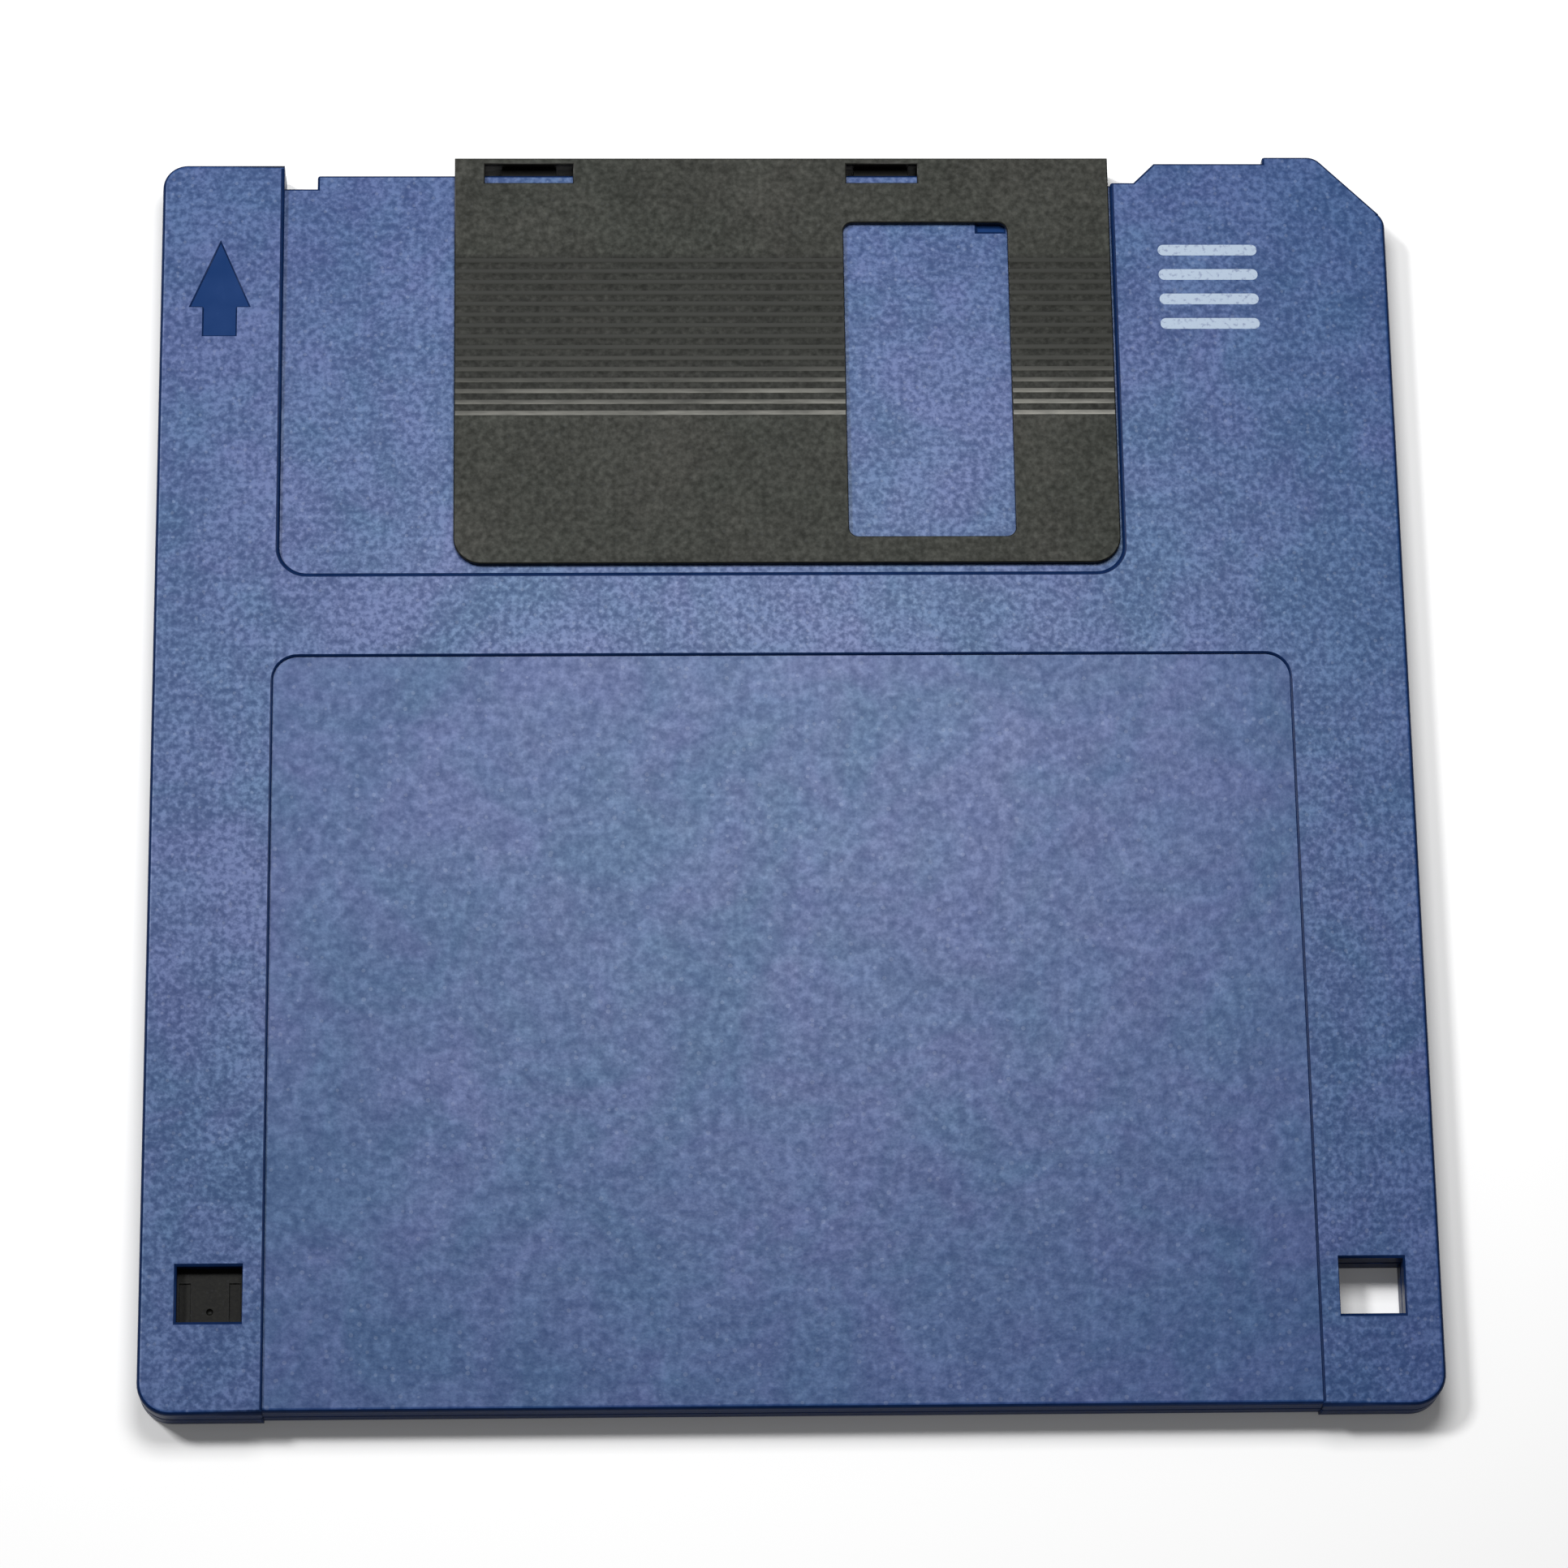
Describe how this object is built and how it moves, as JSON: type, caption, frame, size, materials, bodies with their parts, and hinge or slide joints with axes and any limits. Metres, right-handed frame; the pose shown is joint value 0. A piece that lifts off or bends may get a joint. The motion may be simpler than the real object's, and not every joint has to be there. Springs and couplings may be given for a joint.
{
  "type": "floppy disk",
  "caption": "Flexible disk cartridge with a hard case, sliding shutter, write-protect slider and a steel hub on a turning magnetic disk.",
  "frame": {"origin": "middle of the case, on the hub-side face that it lies on", "axes": "+X to the right seen from the label side, +Y toward the shutter edge, +Z out of the label side"},
  "size_m": [0.09, 0.094, 0.0033],
  "materials": {
    "case_plastic": "spark eroded, speckled",
    "shutter_plastic": "fine matte",
    "spring_steel": "drawn wire",
    "slider_plastic": "matte",
    "disk_coating": "burnished oxide coating",
    "hub_steel": "stamped",
    "adhesive_film": "film",
    "liner_fleece": "nonwoven",
    "lifter_film": "film",
    "wear_disc_plastic": "smooth",
    "print_ink": "pad printed"
  },
  "bodies": {
    "case": {"front_shell": "case_plastic", "back_shell": "case_plastic", "shutter_spring": "spring_steel", "front_liner": "liner_fleece", "back_liner": "liner_fleece", "liner_lifter": "lifter_film", "center_wear_disc": "wear_disc_plastic"},
    "shutter": {"shutter": "shutter_plastic"},
    "protect_slider": {"write_protect_slider": "slider_plastic"},
    "disk": {"magnetic_disk": "disk_coating", "hub": "hub_steel", "hub_adhesive_ring": "adhesive_film"}
  },
  "joints": [
    {"name": "shutter_slide", "type": "slide", "parent": "case", "child": "shutter", "axis": [-1, 0, 0], "range_m": [0, 0.012], "stiffness_N_per_m": 60, "springref_m": -0.006, "deforming": ["shutter_spring"]},
    {"name": "write_protect_slide", "type": "slide", "parent": "case", "child": "protect_slider", "axis": [0, -1, 0], "range_m": [0, 0.0043]},
    {"name": "disk_spin", "type": "hinge", "parent": "case", "child": "disk", "pos_m": [0, 0.0005, 0], "axis": [0, 0, 1], "continuous": true}
  ]
}
